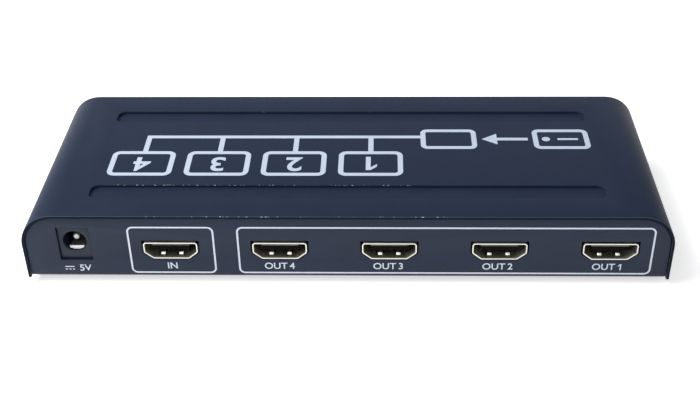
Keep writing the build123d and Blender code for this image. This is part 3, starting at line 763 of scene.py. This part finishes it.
def printed(name, meshes, place, ink):
    """One piece of ink from flat meshes, laid on a face."""
    shape = bmesh.new()
    for mesh in meshes:
        shape.from_mesh(mesh)
    bmesh.ops.remove_doubles(shape, verts=shape.verts, dist=ink_merge_distance)
    bmesh.ops.recalc_face_normals(shape, faces=shape.faces)
    shape.transform(place)
    mesh = bpy.data.meshes.new(name)
    shape.to_mesh(mesh)
    shape.free()
    mesh.materials.append(ink)
    return added(name, mesh)


def socket_x(name):
    """Where a socket's middle is along the panel."""
    low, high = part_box(f"{name}_socket_shell")
    return (low.x + high.x) / 2 / mm


panel_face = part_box("base_chassis")[0].y
on_panel = Matrix.Translation((0, panel_face, 0)) @ Matrix.Rotation(pi / 2, 4, "X")
border_middle = (border_low + border_high) / 2
border_height = border_high - border_low
borders = []
for left, right in (input_border, output_border):
    middle = ((left + right) / 2, border_middle)
    borders += framed(middle, right - left, border_height, border_radius, border_line)
panel_marks = [drawn_outlines(borders)]
panel_marks.append(drawn_word("IN", (socket_x("input"), word_row), word_height, word_weight))
for number in (1, 2, 3, 4):
    x = socket_x(f"output_{number}")
    panel_marks.append(drawn_word("OUT", (x + word_shift, word_row), word_height, word_weight))
    panel_marks.append(drawn_numeral(number, (x + numeral_shift, word_row), word_height, word_weight))
panel_marks.append(drawn_word("5V", supply_place, word_height, word_weight))
current_sign = [block((sign_middle, steady_row), sign_length, sign_line)]
for step in (-1, 0, 1):
    current_sign.append(block((sign_middle + step * dash_pitch, broken_row), dash_length, sign_line))
panel_marks.append(drawn_outlines(current_sign))
printed("port_panel_ink", panel_marks, on_panel, panel_ink_painted_brighter)

# Cover print: a plain drawing in the same kind of ink, read from the lamp side: a source, an arrow into
# a box, and four numbered screens on one line. Its sizes and places are in mm, on the cover's top.
cover_ink = make_finish("cover_ink", (0.455, 0.525, 0.640), 0.55, grain=3000.0, relief=0.004)
stroke = 1.5
screen_width, screen_height, screen_pitch, screen_radius = 17.0, 11.5, 22.0, 1.6
last_screen, screen_row = 59.4, 6.2
numeral_height, numeral_weight = 7.0, 0.2
line_row = -8.4
box_width, box_height, box_radius = 15.0, 9.5, 1.4
box_place, source_place = -29.5, -62.6
box_rise = 1.2
box_row = line_row + box_rise
arrow_gap, arrow_head = 1.5, 4.5
dot_shift, dot_width, dot_radius = 4.4, 2.4, 1.19
slot_shift, slot_length, slot_line = -2.0, 6.0, 1.0

on_cover = Matrix.Translation((0, 0, cover_high.z)) @ Matrix.Rotation(pi, 4, "Z")
frames = []
drops = []
numerals = []
drop_low, drop_high = line_row + stroke / 2, screen_row - (screen_height + stroke) / 2
for number in (1, 2, 3, 4):
    x = last_screen - screen_pitch * (4 - number)
    frames += framed((x, screen_row), screen_width, screen_height, screen_radius, stroke)
    drops.append(block((x, (drop_low + drop_high) / 2), stroke, drop_high - drop_low))
    numerals.append(drawn_numeral(number, (x, screen_row), numeral_height, numeral_weight))
for place in (box_place, source_place):
    frames += framed((place, box_row), box_width, box_height, box_radius, stroke)
box_reach = (box_width + stroke) / 2
line_start, line_end = box_place + box_reach, last_screen + stroke / 2
shared_line = block(((line_start + line_end) / 2, line_row), line_end - line_start, stroke)
arrow_start = source_place + box_reach + arrow_gap
arrow_tip = box_place - box_reach - arrow_gap
arrow_neck = arrow_tip - arrow_head
arrow = [
    (arrow_start, box_row - stroke / 2),
    (arrow_neck, box_row - stroke / 2),
    (arrow_neck, box_row - 2 * stroke),
    (arrow_tip, box_row),
    (arrow_neck, box_row + 2 * stroke),
    (arrow_neck, box_row + stroke / 2),
    (arrow_start, box_row + stroke / 2),
]
source_marks = [
    rounded((source_place + dot_shift, box_row), dot_width, dot_width, dot_radius),
    block((source_place + slot_shift, box_row), slot_length, slot_line),
]
cover_shapes = [frames, drops, [shared_line, arrow], source_marks]
cover_marks = [drawn_outlines(shapes) for shapes in cover_shapes] + numerals
printed("cover_ink", cover_marks, on_cover, cover_ink)

# Studio: a plain pale floor, a pale sky and three soft lamps. To the camera, in metal and through clear
# epoxy, the floor is brighter than its light makes it and the sky is white. So the floor meets the white
# background and keeps the shadow, and it is lifted less near the box, where the fade starts.
floor_size = 6.0
floor_gap = 0.05 * mm
floor_colour = (0.86, 0.86, 0.86, 1)
floor_roughness = 0.95
floor_fade = {"From Min": 0.25, "From Max": 0.9, "To Min": 0.6, "To Max": 1.0}
sky_colour = (0.95, 0.97, 1.0, 1)
sky_strength = 0.23


def seen_by_eye(tree):
    """A mask of the rays that show what lies behind: straight, off metal or through something clear."""
    ray = tree.nodes.new("ShaderNodeLightPath")
    seen = calculate(tree, "ADD", ray.outputs["Is Camera Ray"], ray.outputs["Is Glossy Ray"])
    seen = calculate(tree, "ADD", seen, ray.outputs["Is Transmission Ray"])
    return calculate(tree, "MINIMUM", seen, 1.0)


bpy.ops.mesh.primitive_plane_add(size=floor_size, location=(0, 0, -floor_gap))
floor = bpy.context.object
floor.name = "studio_floor"
floor_material = bpy.data.materials.new("studio_floor")
floor_material.use_nodes = True
floor_tree = floor_material.node_tree
floor_shader = floor_tree.nodes["Principled BSDF"]
floor_shader.inputs["Base Color"].default_value = floor_colour
floor_shader.inputs["Roughness"].default_value = floor_roughness
floor_shader.inputs["Specular IOR Level"].default_value = 0.0
floor_shader.inputs["Emission Color"].default_value = (1, 1, 1, 1)
floor_place = floor_tree.nodes.new("ShaderNodeTexCoord").outputs["Object"]
floor_distance = floor_tree.nodes.new("ShaderNodeVectorMath")
floor_distance.operation = "LENGTH"
floor_tree.links.new(floor_place, floor_distance.inputs[0])
fade = floor_tree.nodes.new("ShaderNodeMapRange")
for label, value in floor_fade.items():
    fade.inputs[label].default_value = value
floor_tree.links.new(floor_distance.outputs["Value"], fade.inputs["Value"])
lift = calculate(floor_tree, "MULTIPLY", seen_by_eye(floor_tree), fade.outputs["Result"])
floor_tree.links.new(lift, floor_shader.inputs["Emission Strength"])
floor.data.materials.append(floor_material)

world = bpy.data.worlds.new("studio_sky")
bpy.context.scene.world = world
world.use_nodes = True
sky_tree = world.node_tree
sky = sky_tree.nodes["Background"]
sky.inputs["Color"].default_value = sky_colour
sky.inputs["Strength"].default_value = sky_strength
white = sky_tree.nodes.new("ShaderNodeBackground")
white.inputs["Color"].default_value = (1, 1, 1, 1)
choice = sky_tree.nodes.new("ShaderNodeMixShader")
sky_tree.links.new(seen_by_eye(sky_tree), choice.inputs[0])
sky_tree.links.new(sky.outputs[0], choice.inputs[1])
sky_tree.links.new(white.outputs[0], choice.inputs[2])
sky_tree.links.new(choice.outputs[0], sky_tree.nodes["World Output"].inputs["Surface"])


def soft_lamp(name, place, aim, width, height, power):
    """A rectangular soft lamp at a place, aimed at a point."""
    lamp = bpy.data.lights.new(name, "AREA")
    lamp.shape = "RECTANGLE"
    lamp.size, lamp.size_y = width, height
    lamp.energy = power
    holder = bpy.data.objects.new(name, lamp)
    holder.location = place
    holder.rotation_mode = "QUATERNION"
    holder.rotation_quaternion = (Vector(aim) - Vector(place)).to_track_quat("-Z", "Y")
    bpy.context.scene.collection.objects.link(holder)


soft_lamp("overhead_lamp", place=(-0.42, 0.12, 0.62), aim=(-0.03, 0, 0), width=0.6, height=0.5, power=2.9)
soft_lamp("left_lamp", place=(-0.50, -0.08, 0.60), aim=(-0.03, 0, 0), width=0.6, height=0.4, power=4.8)
soft_lamp("front_lamp", place=(-0.15, -0.65, 0.70), aim=(0.02, 0, 0.01), width=0.6, height=0.3, power=1.4)
bpy.context.scene.view_settings.view_transform = "Standard"
